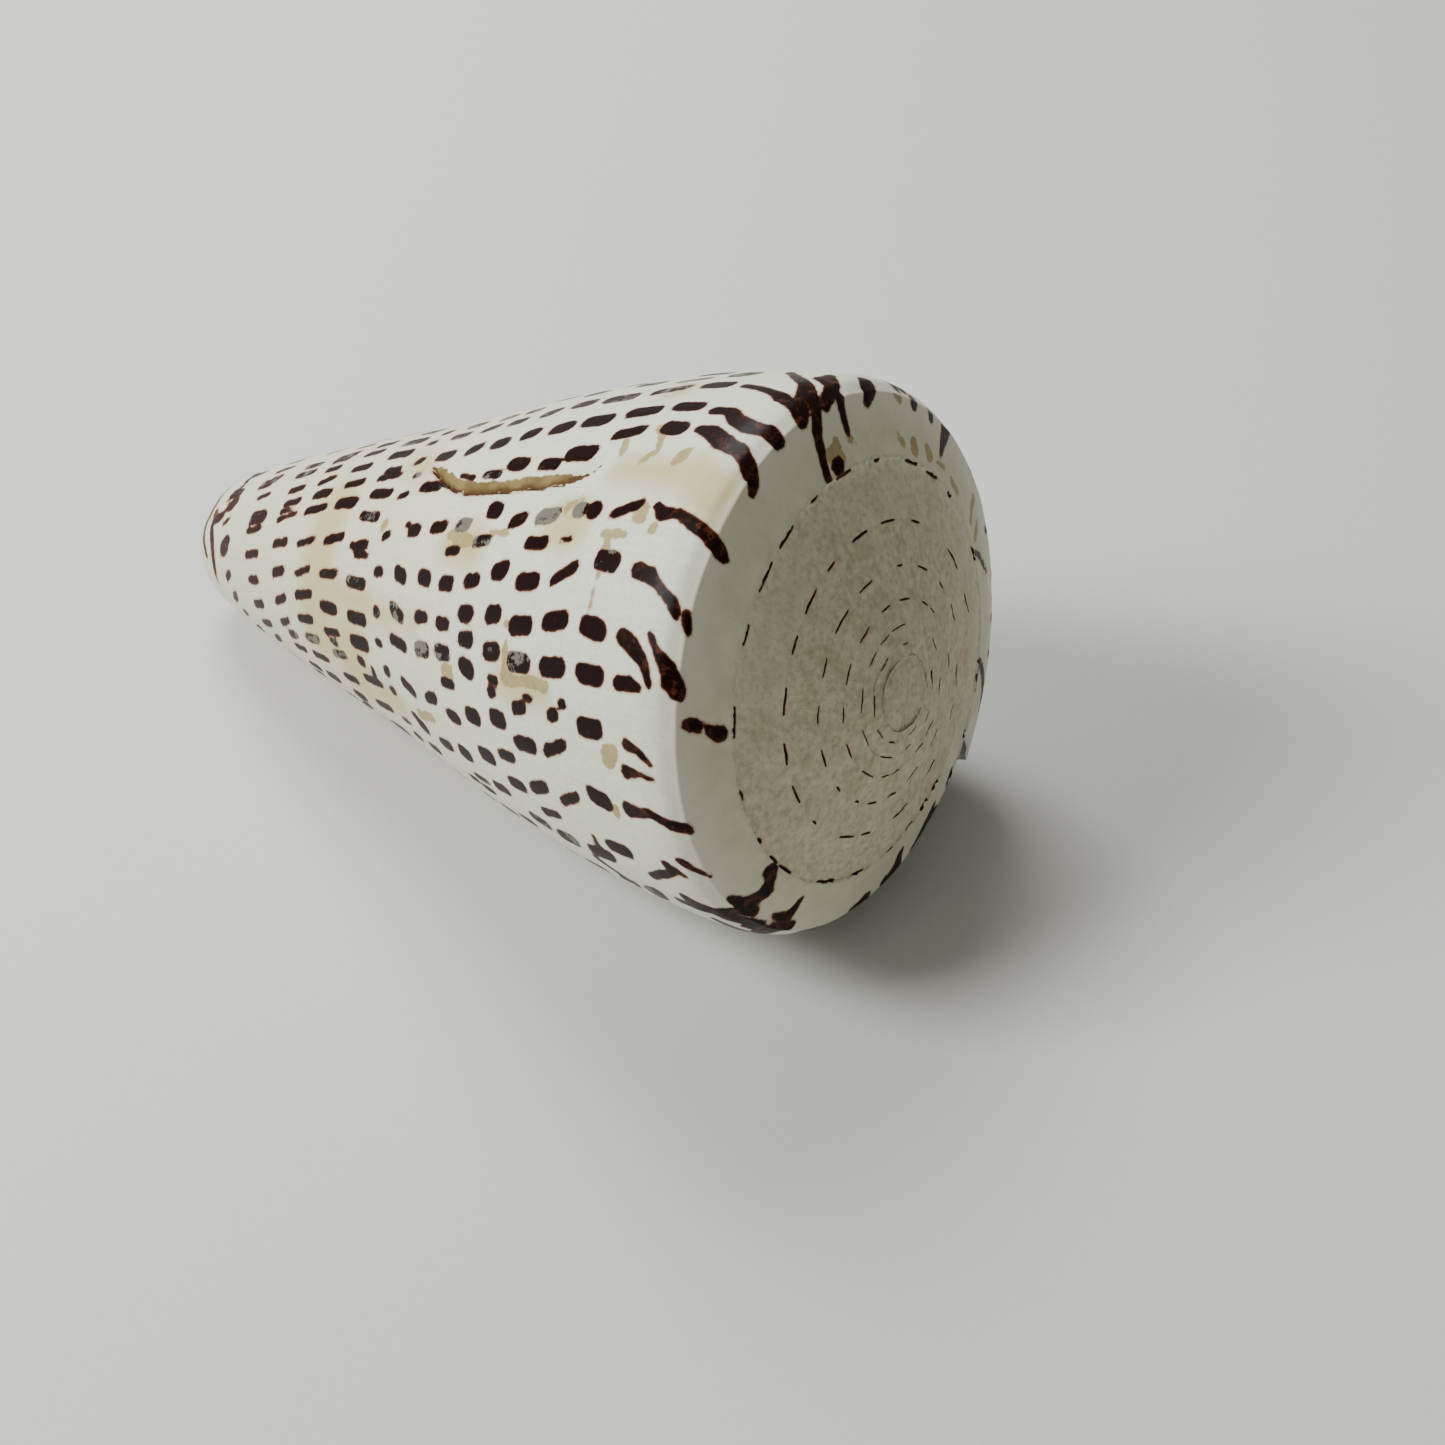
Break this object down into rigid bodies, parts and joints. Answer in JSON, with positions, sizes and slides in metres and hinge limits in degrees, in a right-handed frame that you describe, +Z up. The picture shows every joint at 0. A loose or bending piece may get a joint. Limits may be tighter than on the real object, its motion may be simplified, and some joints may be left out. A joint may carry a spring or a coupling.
{
  "type": "cone shell",
  "caption": "Lettered cone shell lying with its slit down: a white cone with rows of dark brown spots, a low spiral spire, a rounded shoulder and a mended scar on its back.",
  "frame": {"origin": "on the floor, under the middle of the shell's box as it lies", "axes": "+X along the shell's length towards the spire, +Z up from the floor, +Y to the side that the outer lip is on"},
  "size_m": [0.0986, 0.0606, 0.0572],
  "materials": {
    "shell": "smooth white shell with dark brown spots"
  },
  "bodies": {
    "root": {"shell": "shell"}
  },
  "joints": []
}
